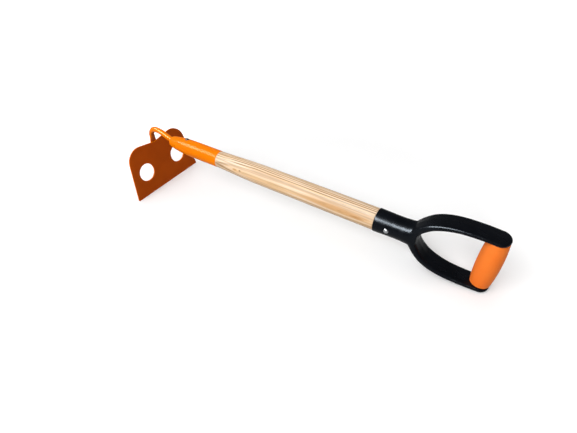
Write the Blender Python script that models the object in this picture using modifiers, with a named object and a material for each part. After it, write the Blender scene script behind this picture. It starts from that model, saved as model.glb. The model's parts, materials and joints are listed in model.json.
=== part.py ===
"""Short cement hoe: a holed steel blade on a swan neck, a tapered steel socket, an ash shaft and a D-handle.

Everything is placed in the shaft frame: X runs along the shaft from the blade to the D-handle, Z is up,
and the origin is on the shaft axis at the mouth of the steel socket. The shaft frame itself is pitched and
raised at the end, so that the hoe stands on the blade's cutting edge and on the D-handle's lower arm.
"""
import math

import bmesh
import bpy
from mathutils import Vector

GAP = 0.0003
MERGE = 0.00001
TURN_STEPS = 48
SHARP_ANGLE = math.radians(35)
BEAD_SHARP_ANGLE = math.radians(60)

# Rotations that turn a piece's own Z axis
ALONG_SHAFT = (0, math.pi / 2, 0)
ALONG_Y = (math.pi / 2, 0, 0)
UPRIGHT = (0, 0, 0)

# Ash shaft: its radii, and its ends inside the steel socket and the D-handle
SHAFT_RADIUS = 0.0185
SHAFT_NECK_RADIUS = 0.0156
SHAFT_SWELL_END = 0.105
SHAFT_END = 0.3191
SHAFT_FRONT = -0.094
SWELL_STATIONS = 7
SWELL_POWER = 1.25
TENON_RADIUS = 0.0164
TENON_END_RADIUS = 0.0152
TENON_LENGTH = 0.052

# Steel socket, from its mouth to its narrow end, and the domed weld that closes it
SOCKET_WALL = 0.0014
SOCKET_PROFILE = ((-0.002, 0.0158), (-0.030, 0.0162), (-0.070, 0.0161), (-0.088, 0.0155), (-0.100, 0.0146),
                  (-0.112, 0.0131), (-0.1200, 0.0118))
NOSE_TIP = -0.1285

# Neck: a round rod that sweeps forward and down, then flattens into a tang on the blade's front face
ROD_RADIUS = 0.0055
NECK_ROD = ((-0.099, 0.0002), (-0.126, 0.0020), (-0.152, 0.0106), (-0.167, 0.0131), (-0.179, 0.0103))
NECK_LEG = ((-0.1866, 0.0010, 0.0056, 0.0049), (-0.1875, -0.0060, 0.0058, 0.0043),
            (-0.1876, -0.0110, 0.0064, 0.0033), (-0.1880, -0.0160, 0.0072, 0.0021))
NECK_CLEARANCE_TAIL = 0.012
NECK_SIDES = 24
NECK_STEPS = 5
TANG_HALF_WIDTH = 0.0078
TANG_MIDDLE_HALF_WIDTH = 0.0078
TANG_END_HALF_WIDTH = 0.0062
TANG_HALF_THICKNESS = 0.0017
TANG_TOP = 0.048
TANG_BOTTOM = 0.022
SECTION_SQUARENESS = 2.2
FLATNESS_POWER = 3
CLEARANCE_KNOTS = 3

# Blade: a flat plate with two round lobes, a shallow cleft for the neck and two mixing holes.
# Its own frame has X across the width and Y up the plate from the line through the hole centres.
BLADE_THICKNESS = 0.0024
BLADE_TILT = math.radians(10.8)
BLADE_HOLES_AT = (-0.1751, -0.0688)
HOLE_RADIUS = 0.0187
HOLE_SPACING = 0.0895
HOLE_STEPS = 48
EDGE_HALF_WIDTH = 0.0883
EDGE_DROP = 0.0472
EDGE_CORNER_RADIUS = 0.0016
LOBE_RADIUS = 0.0319
LOBE_HEIGHT = 0.0258
CLEFT_HEIGHT = 0.0505
ARC_STEP = math.radians(8)
CORNER_ARC_STEP = math.radians(30)

# Weld beads between the tang and the blade, with their ends as heights up the plate
WELD_RADIUS = 0.0016
WELD_ROUNDNESS = 2
WELD_TOP = TANG_TOP - 0.003
WELD_BOTTOM = TANG_TOP - 0.018

# D-handle yoke: a round socket over the shaft and two flat arms joined by a crossbar
YOKE_MOUTH = SHAFT_END
YOKE_RIM_RADIUS = 0.0196
YOKE_SOCKET_RADIUS = 0.0187
YOKE_RIM_LENGTH = 0.002
YOKE_RIM_EASE = 0.026
YOKE_RIM_CHAMFER = 0.0006
YOKE_SOCKET_END = 0.3720
YOKE_DOME = 0.0060
YOKE_BORE_DEPTH = 0.0535
YOKE_BORE_LEAD = 0.001
GRIP_AT = 0.4910
ARM_END = 0.0146
ARM_HALF_DEPTH = 0.0170
ARM_ROOT_HALF_DEPTH = 0.0162
ARM_CROWN = 0.0008
# Stations along the upper arm: outer X and Z, inner X and Z, half depth, edge round
ARM_STATIONS = ((0.491, 0.0506, 0.491, 0.0432, ARM_HALF_DEPTH, 0.0032),
                (0.467, 0.0518, 0.468, 0.0434, 0.0172, 0.0034),
                (0.440, 0.0508, 0.444, 0.0419, 0.0174, 0.0036),
                (0.418, 0.0464, 0.425, 0.0374, 0.0178, 0.0040),
                (0.400, 0.0382, 0.410, 0.0307, 0.0180, 0.0046),
                (0.3875, 0.0280, 0.400, 0.0220, 0.0174, 0.0052),
                (0.3785, 0.0180, 0.3935, 0.0135, ARM_ROOT_HALF_DEPTH, 0.0056),
                (0.3730, 0.0085, 0.3900, 0.0062, ARM_ROOT_HALF_DEPTH, 0.0058),
                (0.3710, 0.0, 0.3890, 0.0, ARM_ROOT_HALF_DEPTH, 0.0058))
# Stations along the neck, where the round socket opens out into the arms:
# X, half height, half depth, edge round
NECK_STATIONS = ((0.3590, 0.0176, 0.0176, 0.0176), (0.3670, 0.0189, 0.0187, 0.0184),
                 (0.3740, 0.0188, 0.0183, 0.0165), (0.3785, 0.0195, 0.0178, 0.0150),
                 (0.3825, 0.0213, 0.0172, 0.0125), (0.3860, 0.0240, 0.0168, 0.0100),
                 (0.3885, 0.0262, 0.0165, 0.0080))
ARM_STEPS = 4
END_STEPS = 6
END_ANGLE = math.radians(82)
END_TRIM = 0.0012
END_TRIM_POWER = 3
FULLEST_ROUND = 0.97
NECK_CORNER_STEPS = 9
CORNER_STEPS = 3
CROSSBAR_RADIUS = 0.009
CROSSBAR_BURY = 0.004

# Grip sleeve, a softly swelled barrel over the crossbar
GRIP_HALF_LENGTH = 0.0430 - GAP
GRIP_RADIUS = 0.0171
GRIP_END_RADIUS = 0.0148
GRIP_EDGE_ROUND = 0.0012
GRIP_STATIONS = 10
GRIP_SWELL_POWER = 2.2

# Rivets: a nearly upright one through the steel socket, a level one through the yoke's socket
SOCKET_RIVET_AT = -0.086
SOCKET_RIVET_TURN = (math.radians(-9), 0, 0)
YOKE_RIVET_AT = 0.3420
RIVET_SHANK = 0.0025
RIVET_HEAD = 0.0042
RIVET_DOME = 0.0024
DOME_STEPS = 5
RIVET_SEAT = 0.0006
RIVET_SEAT_CLEARANCE = 0.0003
CUTTER_REACH = 2 * SHAFT_RADIUS

ORANGE = (0.95, 0.33, 0.02)
ASH = (0.78, 0.60, 0.38)
BLACK = (0.02, 0.02, 0.025)
GRIP_ORANGE = (0.95, 0.25, 0.04)
STEEL = (0.60, 0.60, 0.62)
PAINT_ROUGHNESS = 0.35
WOOD_ROUGHNESS = 0.45
PLASTIC_ROUGHNESS = 0.25
RUBBER_ROUGHNESS = 0.5
STEEL_ROUGHNESS = 0.3


def clear_scene():
    for ob in list(bpy.data.objects):
        bpy.data.objects.remove(ob, do_unlink=True)


def new_collection(name):
    collection = bpy.data.collections.new(name)
    bpy.context.scene.collection.children.link(collection)
    return collection


def new_material(name, colour, roughness, metallic):
    material = bpy.data.materials.new(name)
    material.use_nodes = True
    shader = material.node_tree.nodes["Principled BSDF"]
    shader.inputs["Base Color"].default_value = (*colour, 1.0)
    shader.inputs["Roughness"].default_value = roughness
    shader.inputs["Metallic"].default_value = metallic
    material.diffuse_color = (*colour, 1.0)
    return material


def add_object(name, data, collection, parent, location=(0, 0, 0), rotation=(0, 0, 0)):
    ob = bpy.data.objects.new(name, data)
    collection.objects.link(ob)
    ob.parent = parent
    ob.location = location
    ob.rotation_euler = rotation
    return ob


def make_cutter(ob):
    ob.hide_render = True
    ob.display_type = "WIRE"
    return ob


def boolean(ob, other, operation="DIFFERENCE"):
    modifier = ob.modifiers.new(operation.lower(), "BOOLEAN")
    modifier.operation = operation
    modifier.solver = "EXACT"
    modifier.object = other
    return modifier


def smooth(ob, angle=SHARP_ANGLE):
    ob.data.shade_smooth()
    ob.data.set_sharp_from_angle(angle=angle)


def turned(name, profile, collection, parent, location=(0, 0, 0), rotation=ALONG_SHAFT, closed=False):
    """A profile of (height, radius) points, highest first, turned about the object's own Z axis."""
    mesh = bpy.data.meshes.new(name)
    points = [(radius, 0.0, height) for height, radius in profile]
    edges = [(i, i + 1) for i in range(len(points) - 1)]
    if closed:
        edges.append((len(points) - 1, 0))
    mesh.from_pydata(points, edges, [])
    ob = add_object(name, mesh, collection, parent, location, rotation)
    screw = ob.modifiers.new("turn", "SCREW")
    screw.steps = TURN_STEPS
    screw.render_steps = TURN_STEPS
    screw.use_merge_vertices = True
    screw.merge_threshold = MERGE
    return ob


def poly_spline(curve, points):
    """A closed spline of straight runs between the points."""
    spline = curve.splines.new("POLY")
    spline.points.add(len(points) - 1)
    for knot, (x, y) in zip(spline.points, points):
        knot.co = (x, y, 0.0, 1.0)
    spline.use_cyclic_u = True
    return spline


def curve_to_solid(ob, collection):
    """Replace a curve object by the closed mesh it makes, with its caps welded on."""
    depsgraph = bpy.context.evaluated_depsgraph_get()
    mesh = bpy.data.meshes.new_from_object(ob.evaluated_get(depsgraph))
    work = bmesh.new()
    work.from_mesh(mesh)
    bmesh.ops.remove_doubles(work, verts=work.verts, dist=MERGE)
    bmesh.ops.recalc_face_normals(work, faces=work.faces)
    work.to_mesh(mesh)
    work.free()
    name, parent, location, rotation = ob.name, ob.parent, ob.location.copy(), ob.rotation_euler.copy()
    bpy.data.objects.remove(ob, do_unlink=True)
    mesh.name = name
    return add_object(name, mesh, collection, parent, location, rotation)


def flat_outline(name, thickness, fill):
    """A new 2D curve whose filled outline is extruded to the thickness."""
    curve = bpy.data.curves.new(name, "CURVE")
    curve.dimensions = "2D"
    curve.fill_mode = "BOTH"
    curve.extrude = thickness / 2
    fill(curve)
    return curve


def shaft_radius(x):
    """The ash shaft's radius where it shows: drawn in at the steel socket, then straight."""
    t = min(max(x / SHAFT_SWELL_END, 0.0), 1.0)
    swell = math.sin(t * math.pi / 2) ** SWELL_POWER
    return SHAFT_NECK_RADIUS + (SHAFT_RADIUS - SHAFT_NECK_RADIUS) * swell


def socket_radius(x):
    """The steel socket's outer radius at X, read off its profile."""
    for (x0, r0), (x1, r1) in zip(SOCKET_PROFILE, SOCKET_PROFILE[1:]):
        if x >= x1:
            return r0 + (r1 - r0) * (x - x0) / (x1 - x0)
    return SOCKET_PROFILE[-1][1]


def build_shaft(parts, cutters, frame, wood):
    inside = SOCKET_WALL + GAP
    shoulder = YOKE_MOUTH - GAP
    profile = [(shoulder + TENON_LENGTH, 0.0), (shoulder + TENON_LENGTH, TENON_END_RADIUS),
               (shoulder, TENON_RADIUS), (shoulder, SHAFT_RADIUS)]
    mouth = SOCKET_PROFILE[0][0] + GAP
    for i in range(SWELL_STATIONS, -1, -1):
        x = mouth + (SHAFT_SWELL_END - mouth) * i / SWELL_STATIONS
        profile.append((x, shaft_radius(x)))
    for x, radius in SOCKET_PROFILE:
        if x > SHAFT_FRONT:
            profile.append((min(x, mouth), radius - inside))
    profile.append((SHAFT_FRONT, socket_radius(SHAFT_FRONT) - inside))
    profile.append((SHAFT_FRONT, 0.0))
    ob = turned("shaft", profile, parts, frame)
    ob.data.materials.append(wood)
    for x, rotation in ((SOCKET_RIVET_AT, SOCKET_RIVET_TURN), (YOKE_RIVET_AT, ALONG_Y)):
        hole = rivet_hole("shaft_rivet_hole", x, rotation, RIVET_SHANK + GAP, cutters, frame)
        boolean(ob, hole)
    return ob


def rivet_hole(name, x, rotation, radius, cutters, frame):
    profile = [(CUTTER_REACH, 0.0), (CUTTER_REACH, radius), (-CUTTER_REACH, radius), (-CUTTER_REACH, 0.0)]
    return make_cutter(turned(name, profile, cutters, frame, (x, 0, 0), rotation))


def seated_rivet_hole(name, x, rotation, surface_radius, cutters, frame):
    """A rivet's hole with a shallow seat sunk for the head at each end."""
    bore = RIVET_SHANK + GAP
    seat = RIVET_HEAD + RIVET_SEAT_CLEARANCE
    floor = surface_radius - RIVET_SEAT
    profile = [(CUTTER_REACH, 0.0), (CUTTER_REACH, seat), (floor, seat), (floor, bore),
               (-floor, bore), (-floor, seat), (-CUTTER_REACH, seat), (-CUTTER_REACH, 0.0)]
    return make_cutter(turned(name, profile, cutters, frame, (x, 0, 0), rotation))


def build_rivet(name, x, rotation, surface_radius, parts, frame, steel):
    """A shank with a low dome at each end, its heads seated just under the surface."""
    under = surface_radius - RIVET_SEAT + GAP
    dome = []
    for i in range(DOME_STEPS + 1):
        angle = math.pi / 2 * i / DOME_STEPS
        dome.append((under + RIVET_DOME * math.cos(angle), RIVET_HEAD * math.sin(angle)))
    profile = list(dome)
    profile.append((under, RIVET_SHANK))
    profile.append((-under, RIVET_SHANK))
    for height, radius in reversed(dome):
        profile.append((-height, radius))
    ob = turned(name, profile, parts, frame, (x, 0, 0), rotation)
    ob.data.materials.append(steel)
    return ob


def build_socket(parts, cutters, frame, paint):
    outer = list(SOCKET_PROFILE)
    inner = [(x, r - SOCKET_WALL) for x, r in reversed(SOCKET_PROFILE)]
    ob = turned("socket", outer + inner, parts, frame, closed=True)
    ob.data.materials.append(paint)
    hole = seated_rivet_hole("socket_rivet_hole", SOCKET_RIVET_AT, SOCKET_RIVET_TURN,
                             socket_radius(SOCKET_RIVET_AT), cutters, frame)
    boolean(ob, hole)
    return ob


def build_nose(parts, frame, paint, neck_clearance):
    """The domed weld that closes the socket's narrow end round the neck rod."""
    start_x, start_radius = SOCKET_PROFILE[-1]
    start_x -= GAP
    length = start_x - NOSE_TIP
    profile = [(start_x, 0.0)]
    for i in range(DOME_STEPS + 1):
        angle = math.pi / 2 * i / DOME_STEPS
        x = start_x - length * math.sin(angle)
        radius = ROD_RADIUS + (start_radius - ROD_RADIUS) * math.cos(angle)
        profile.append((x, radius))
    profile.append((NOSE_TIP, 0.0))
    ob = turned("socket_nose_weld", profile, parts, frame)
    ob.data.materials.append(paint)
    boolean(ob, neck_clearance)
    return ob


def smooth_path(knots, steps):
    """Points along a Catmull-Rom curve through the knots; each knot is a tuple of equal length."""
    padded = [knots[0]] + list(knots) + [knots[-1]]
    path = []
    for i in range(1, len(padded) - 2):
        before, start, end, after = (Vector(padded[i + k]) for k in (-1, 0, 1, 2))
        for step in range(steps):
            t = step / steps
            point = 0.5 * (2 * start + (end - before) * t
                           + (2 * before - 5 * start + 4 * end - after) * t * t
                           + (3 * start - before - 3 * end + after) * t ** 3)
            path.append(tuple(point))
    path.append(tuple(knots[-1]))
    return path


def loft(name, rings):
    """A closed skin over rings of equal length, capped at both ends, with its faces pointing out."""
    size = len(rings[0])
    verts = [point for ring in rings for point in ring]
    faces = []
    for start in range(0, size * (len(rings) - 1), size):
        for i in range(size):
            j = (i + 1) % size
            faces.append((start + i, start + j, start + size + j, start + size + i))
    faces.append(tuple(reversed(range(size))))
    faces.append(tuple(range(len(verts) - size, len(verts))))
    mesh = bpy.data.meshes.new(name)
    mesh.from_pydata(verts, [], faces)
    work = bmesh.new()
    work.from_mesh(mesh)
    bmesh.ops.recalc_face_normals(work, faces=work.faces)
    work.to_mesh(mesh)
    work.free()
    return mesh


def blade_point(height, offset):
    """Shaft-frame X and Z of a point up the blade's middle line, offset towards the handle."""
    up_x, up_z = -math.sin(BLADE_TILT), math.cos(BLADE_TILT)
    out_x, out_z = math.cos(BLADE_TILT), math.sin(BLADE_TILT)
    x = BLADE_HOLES_AT[0] + height * up_x + offset * out_x
    z = BLADE_HOLES_AT[1] + height * up_z + offset * out_z
    return x, z


def tang_offset(half_thickness):
    """The tang's middle lies in front of the plate, one gap off its front face."""
    return -(BLADE_THICKNESS / 2 + GAP + half_thickness)


def neck_knots():
    """Knots along the neck: X, Z, half width and half thickness, from the socket to the tang's end."""
    knots = [(x, z, ROD_RADIUS, ROD_RADIUS) for x, z in NECK_ROD]
    knots += list(NECK_LEG)
    tang = tang_offset(TANG_HALF_THICKNESS)
    middle = (TANG_TOP + TANG_BOTTOM) / 2
    for height, half_width in ((TANG_TOP, TANG_HALF_WIDTH), (middle, TANG_MIDDLE_HALF_WIDTH),
                               (TANG_BOTTOM, TANG_END_HALF_WIDTH)):
        knots.append((*blade_point(height, tang), half_width, TANG_HALF_THICKNESS))
    return knots


def neck_section(x, z, along, half_width, half_thickness):
    """One ring of the neck: round on the rod, squarer with rounded edges where it is flattened."""
    normal = (-along[1], along[0])
    flatness = 1 - half_thickness / half_width
    power = 2 / (2 + SECTION_SQUARENESS * flatness ** FLATNESS_POWER)
    ring = []
    for i in range(NECK_SIDES):
        angle = 2 * math.pi * i / NECK_SIDES
        c, s = math.cos(angle), math.sin(angle)
        across = half_width * math.copysign(abs(c) ** power, c)
        through = half_thickness * math.copysign(abs(s) ** power, s)
        ring.append((x + normal[0] * through, across, z + normal[1] * through))
    return ring


def neck_mesh(name, knots, grow=0.0):
    """The neck as a loft between unlike sections, round along the rod and flat along the tang."""
    path = smooth_path(knots, NECK_STEPS)
    rings = []
    for i, (x, z, half_width, half_thickness) in enumerate(path):
        ahead = path[min(i + 1, len(path) - 1)]
        behind = path[max(i - 1, 0)]
        along = Vector((ahead[0] - behind[0], ahead[1] - behind[1])).normalized()
        rings.append(neck_section(x, z, along, half_width + grow, half_thickness + grow))
    return loft(name, rings)


def build_neck(parts, cutters, frame, paint):
    ob = add_object("neck", neck_mesh("neck", neck_knots()), parts, frame)
    ob.data.materials.append(paint)
    smooth(ob)
    rod_knots = neck_knots()[:CLEARANCE_KNOTS]
    tail = (NECK_ROD[0][0] + NECK_CLEARANCE_TAIL, NECK_ROD[0][1], ROD_RADIUS, ROD_RADIUS)
    clearance_mesh = neck_mesh("neck_clearance", [tail] + rod_knots, GAP)
    clearance = make_cutter(add_object("neck_clearance", clearance_mesh, cutters, frame))
    return ob, clearance


def arc(centre_x, centre_y, radius, start, end, step=ARC_STEP):
    """Points along an arc from the start angle to the end angle, both ends included."""
    count = max(2, math.ceil(abs(end - start) / step))
    angles = [start + (end - start) * i / count for i in range(count + 1)]
    return [(centre_x + radius * math.cos(a), centre_y + radius * math.sin(a)) for a in angles]


def tangent_angle(point, centre, radius, side):
    """Angle on a circle where a straight line from an outside point touches it, on the side given."""
    away = math.atan2(point[1] - centre[1], point[0] - centre[0])
    reach = math.dist(point, centre)
    return away + side * math.acos(radius / reach)


def blade_outline(curve):
    """A plate with straight sides, each running into a round lobe that slopes down to the cleft."""
    centre = (HOLE_SPACING / 2, LOBE_HEIGHT)
    corner = (EDGE_HALF_WIDTH, -EDGE_DROP)
    side_end = tangent_angle(corner, centre, LOBE_RADIUS, 1)
    cleft_end = tangent_angle((0.0, CLEFT_HEIGHT), centre, LOBE_RADIUS, -1)
    inset = EDGE_CORNER_RADIUS
    half = arc(corner[0] - inset, corner[1] + inset, inset, -math.pi / 2, 0.0, CORNER_ARC_STEP)
    half += arc(*centre, LOBE_RADIUS, side_end, cleft_end % (2 * math.pi))
    points = half + [(0.0, CLEFT_HEIGHT)] + [(-x, y) for x, y in reversed(half)]
    poly_spline(curve, points)
    for side in (-1, 1):
        step = 2 * math.pi / HOLE_STEPS
        poly_spline(curve, arc(side * HOLE_SPACING / 2, 0.0, HOLE_RADIUS, 0.0, 2 * math.pi - step, step))


def build_blade(parts, frame, paint):
    curve = flat_outline("blade", BLADE_THICKNESS, blade_outline)
    stand_up = (math.pi / 2, 0, math.pi / 2)
    ob = add_object("blade", curve, parts, blade_frame(frame), (0, 0, 0), stand_up)
    ob = curve_to_solid(ob, parts)
    ob.data.materials.append(paint)
    smooth(ob)
    return ob


def blade_frame(frame):
    """An empty on the line of the hole centres; its Z runs up the plate and its X towards the handle."""
    empty = bpy.data.objects.get("blade_frame")
    if empty is None:
        empty = add_object("blade_frame", None, bpy.context.scene.collection, frame,
                           (BLADE_HOLES_AT[0], 0, BLADE_HOLES_AT[1]), (0, -BLADE_TILT, 0))
    return empty


def build_tang_welds(parts, frame, paint):
    """A straight bead down each side of the tang, on the blade's front face."""
    in_front = -(BLADE_THICKNESS / 2 + GAP + WELD_RADIUS)
    beside = TANG_HALF_WIDTH + GAP + WELD_RADIUS
    for name, side in (("weld_left", -1), ("weld_right", 1)):
        curve = bpy.data.curves.new(name, "CURVE")
        curve.dimensions = "3D"
        curve.bevel_depth = WELD_RADIUS
        curve.bevel_resolution = WELD_ROUNDNESS
        curve.use_fill_caps = True
        spline = curve.splines.new("POLY")
        spline.points.add(1)
        for knot, height in zip(spline.points, (WELD_TOP, WELD_BOTTOM)):
            knot.co = (in_front, side * beside, height, 1.0)
        ob = curve_to_solid(add_object(name, curve, parts, blade_frame(frame)), parts)
        ob.data.materials.append(paint)
        smooth(ob, BEAD_SHARP_ANGLE)


def rounded_section(half_width, half_depth, edge_round, ridge=0.0, steps=CORNER_STEPS):
    """A rectangle with round corners, as (across, depth) points; a ridge may run down two opposite faces."""
    shoulder = half_width - ridge
    radius = min(edge_round, FULLEST_ROUND * shoulder, FULLEST_ROUND * half_depth)
    ring = []
    for i, (across, depth) in enumerate(((1, 1), (-1, 1), (-1, -1), (1, -1))):
        for step in range(steps + 1):
            angle = math.pi / 2 * (i + step / steps)
            ring.append((across * (shoulder - radius) + radius * math.cos(angle),
                         depth * (half_depth - radius) + radius * math.sin(angle)))
        if ridge and i % 2 == 1:
            ring.append((half_width if i == 3 else -half_width, 0.0))
    return ring


def arm_stations():
    """Both arms as one run, from the upper arm's round end through the neck to the lower arm's round end."""
    outer_z, inner_z, end_round = ARM_STATIONS[0][1], ARM_STATIONS[0][3], ARM_STATIONS[0][5]
    upper = []
    for i in range(END_STEPS, 0, -1):
        angle = END_ANGLE * i / END_STEPS
        x = GRIP_AT + ARM_END * math.sin(angle)
        trim = END_TRIM * (i / END_STEPS) ** END_TRIM_POWER
        upper.append((x, outer_z - trim, x, inner_z + trim, ARM_HALF_DEPTH * math.cos(angle), end_round))
    upper += smooth_path(ARM_STATIONS, ARM_STEPS)
    lower = [(ox, -oz, ix, -iz, *rest) for ox, oz, ix, iz, *rest in reversed(upper[:-1])]
    return upper + lower


def arms_mesh():
    rings = []
    for outer_x, outer_z, inner_x, inner_z, half_depth, edge_round in arm_stations():
        middle_x, middle_z = (outer_x + inner_x) / 2, (outer_z + inner_z) / 2
        half_width = math.dist((outer_x, outer_z), (inner_x, inner_z)) / 2
        across_x, across_z = (outer_x - middle_x) / half_width, (outer_z - middle_z) / half_width
        section = rounded_section(half_width, half_depth, edge_round, ARM_CROWN)
        rings.append([(middle_x + a * across_x, depth, middle_z + a * across_z) for a, depth in section])
    return loft("handle_yoke", rings)


def neck_body_mesh():
    """The yoke's neck, from the round socket to the root of the arms."""
    rings = []
    for x, half_height, half_depth, edge_round in smooth_path(NECK_STATIONS, ARM_STEPS):
        section = rounded_section(half_height, half_depth, edge_round, steps=NECK_CORNER_STEPS)
        rings.append([(x, depth, height) for height, depth in section])
    return loft("yoke_neck_body", rings)


def yoke_socket_profile():
    """The D-handle's socket as a solid: a domed end between the arms, a straight barrel and a rim."""
    dome_start = YOKE_SOCKET_END - YOKE_DOME
    profile = [(YOKE_SOCKET_END, 0.0)]
    for i in range(1, DOME_STEPS + 1):
        angle = math.pi / 2 * i / DOME_STEPS
        profile.append((dome_start + YOKE_DOME * math.cos(angle), YOKE_SOCKET_RADIUS * math.sin(angle)))
    rim_end = YOKE_MOUTH + YOKE_RIM_LENGTH
    profile += [(rim_end + YOKE_RIM_EASE, YOKE_SOCKET_RADIUS), (rim_end, YOKE_RIM_RADIUS),
                (YOKE_MOUTH + YOKE_RIM_CHAMFER, YOKE_RIM_RADIUS),
                (YOKE_MOUTH, YOKE_RIM_RADIUS - YOKE_RIM_CHAMFER), (YOKE_MOUTH, 0.0)]
    return profile


def build_yoke(parts, cutters, frame, plastic):
    ob = add_object("handle_yoke", arms_mesh(), parts, frame)
    ob.data.materials.append(plastic)
    smooth(ob)
    socket = make_cutter(turned("yoke_socket_body", yoke_socket_profile(), cutters, frame))
    boolean(ob, socket, "UNION")
    neck_body = make_cutter(add_object("yoke_neck_body", neck_body_mesh(), cutters, frame))
    boolean(ob, neck_body, "UNION")
    reach = GRIP_HALF_LENGTH + CROSSBAR_BURY
    bar_profile = [(reach, 0.0), (reach, CROSSBAR_RADIUS), (-reach, CROSSBAR_RADIUS), (-reach, 0.0)]
    bar = make_cutter(turned("crossbar_body", bar_profile, cutters, frame, (GRIP_AT, 0, 0), UPRIGHT))
    boolean(ob, bar, "UNION")
    depth = YOKE_MOUTH + YOKE_BORE_DEPTH
    outside = YOKE_MOUTH - YOKE_BORE_LEAD
    bore_profile = [(depth, 0.0), (depth, TENON_END_RADIUS + GAP),
                    (outside, TENON_RADIUS + GAP), (outside, 0.0)]
    boolean(ob, make_cutter(turned("yoke_bore", bore_profile, cutters, frame)))
    hole = seated_rivet_hole("yoke_rivet_hole", YOKE_RIVET_AT, ALONG_Y, YOKE_SOCKET_RADIUS, cutters, frame)
    boolean(ob, hole)
    return ob


def build_grip(parts, frame, rubber):
    bore = CROSSBAR_RADIUS + GAP
    half = GRIP_HALF_LENGTH
    outer = [(half, GRIP_END_RADIUS - GRIP_EDGE_ROUND), (half - GRIP_EDGE_ROUND, GRIP_END_RADIUS)]
    for i in range(1, GRIP_STATIONS):
        t = 1 - 2 * i / GRIP_STATIONS
        swell = 1 - abs(t) ** GRIP_SWELL_POWER
        radius = GRIP_END_RADIUS + (GRIP_RADIUS - GRIP_END_RADIUS) * swell
        outer.append((t * (half - GRIP_EDGE_ROUND), radius))
    outer += [(-half + GRIP_EDGE_ROUND, GRIP_END_RADIUS), (-half, GRIP_END_RADIUS - GRIP_EDGE_ROUND)]
    profile = outer + [(-half, bore), (half, bore)]
    ob = turned("grip_sleeve", profile, parts, frame, (GRIP_AT, 0, 0), UPRIGHT, closed=True)
    ob.data.materials.append(rubber)
    return ob


def evaluated_points(ob):
    depsgraph = bpy.context.evaluated_depsgraph_get()
    shape = ob.evaluated_get(depsgraph)
    mesh = shape.to_mesh()
    points = [shape.matrix_world @ vertex.co for vertex in mesh.vertices]
    shape.to_mesh_clear()
    return points


def stand_on_floor(frame, parts, blade, yoke):
    """Pitch the shaft until the blade's edge and the yoke's lower arm both touch Z = 0, and centre it."""
    bpy.context.view_layer.update()
    edge = min(evaluated_points(blade), key=lambda p: p.z)
    pitch = min(math.atan2(p.z - edge.z, p.x - edge.x) for p in evaluated_points(yoke))
    frame.rotation_euler = (0, pitch, 0)
    bpy.context.view_layer.update()
    points = [p for ob in parts.objects for p in evaluated_points(ob)]
    low = Vector([min(p[i] for p in points) for i in range(3)])
    high = Vector([max(p[i] for p in points) for i in range(3)])
    frame.location = (-(low.x + high.x) / 2, -(low.y + high.y) / 2, -low.z)
    bpy.context.view_layer.update()
    print("pitch in degrees:", round(math.degrees(pitch), 3))
    print("shaft frame origin:", [round(v, 5) for v in frame.location])
    print("size:", [round(v, 4) for v in high - low])


def main():
    clear_scene()
    parts = new_collection("cement_hoe")
    cutters = new_collection("cement_hoe_cutters")
    paint = new_material("orange_paint", ORANGE, PAINT_ROUGHNESS, 0.0)
    wood = new_material("ash_wood", ASH, WOOD_ROUGHNESS, 0.0)
    plastic = new_material("black_plastic", BLACK, PLASTIC_ROUGHNESS, 0.0)
    rubber = new_material("orange_grip", GRIP_ORANGE, RUBBER_ROUGHNESS, 0.0)
    steel = new_material("bright_steel", STEEL, STEEL_ROUGHNESS, 1.0)
    frame = add_object("shaft_frame", None, bpy.context.scene.collection, None)
    blade = build_blade(parts, frame, paint)
    neck, neck_clearance = build_neck(parts, cutters, frame, paint)
    build_tang_welds(parts, frame, paint)
    build_socket(parts, cutters, frame, paint)
    build_nose(parts, frame, paint, neck_clearance)
    build_rivet("socket_rivet", SOCKET_RIVET_AT, SOCKET_RIVET_TURN, socket_radius(SOCKET_RIVET_AT),
                parts, frame, steel)
    build_shaft(parts, cutters, frame, wood)
    yoke = build_yoke(parts, cutters, frame, plastic)
    build_grip(parts, frame, rubber)
    build_rivet("handle_rivet", YOKE_RIVET_AT, ALONG_Y, YOKE_SOCKET_RADIUS, parts, frame, steel)
    stand_on_floor(frame, parts, blade, yoke)


main()
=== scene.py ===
"""Looks for the cement hoe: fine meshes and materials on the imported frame, with a floor, lamps and a camera.

Every piece is drawn in the shaft frame, as in the part's source: X along the shaft from the blade to the
D-handle, Z up, origin on the shaft axis at the mouth of the steel socket. Lengths are in metres.
"""
import json
import math

import bmesh
import bpy
from mathutils import Matrix, Vector


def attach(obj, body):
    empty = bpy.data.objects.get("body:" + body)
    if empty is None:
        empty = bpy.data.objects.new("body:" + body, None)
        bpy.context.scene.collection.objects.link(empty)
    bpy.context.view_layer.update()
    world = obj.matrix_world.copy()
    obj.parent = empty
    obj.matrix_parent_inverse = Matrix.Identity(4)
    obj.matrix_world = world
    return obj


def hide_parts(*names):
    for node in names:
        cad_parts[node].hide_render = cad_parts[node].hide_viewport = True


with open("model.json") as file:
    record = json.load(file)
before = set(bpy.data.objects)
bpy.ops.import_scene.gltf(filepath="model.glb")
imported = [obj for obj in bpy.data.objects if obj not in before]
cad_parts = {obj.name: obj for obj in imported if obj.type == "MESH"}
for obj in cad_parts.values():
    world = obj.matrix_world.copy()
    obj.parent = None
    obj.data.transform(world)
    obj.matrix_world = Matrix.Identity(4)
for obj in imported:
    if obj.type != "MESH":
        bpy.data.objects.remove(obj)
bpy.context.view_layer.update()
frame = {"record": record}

GAP = 0.0003
TURN_STEPS = 96
MERGE_DISTANCE = 0.000001
CREASE_ANGLE = math.radians(40)

# Ash shaft
SHAFT_RADIUS = 0.0185
SHAFT_NECK_RADIUS = 0.0156
SHAFT_SWELL_END = 0.105
SHAFT_END = 0.3191
SHAFT_FRONT = -0.094
SWELL_POWER = 1.25
SWELL_STATIONS = 24
TENON_RADIUS = 0.0164
TENON_END_RADIUS = 0.0152
TENON_LENGTH = 0.052
SHAFT_EASE = 0.0008

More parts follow.
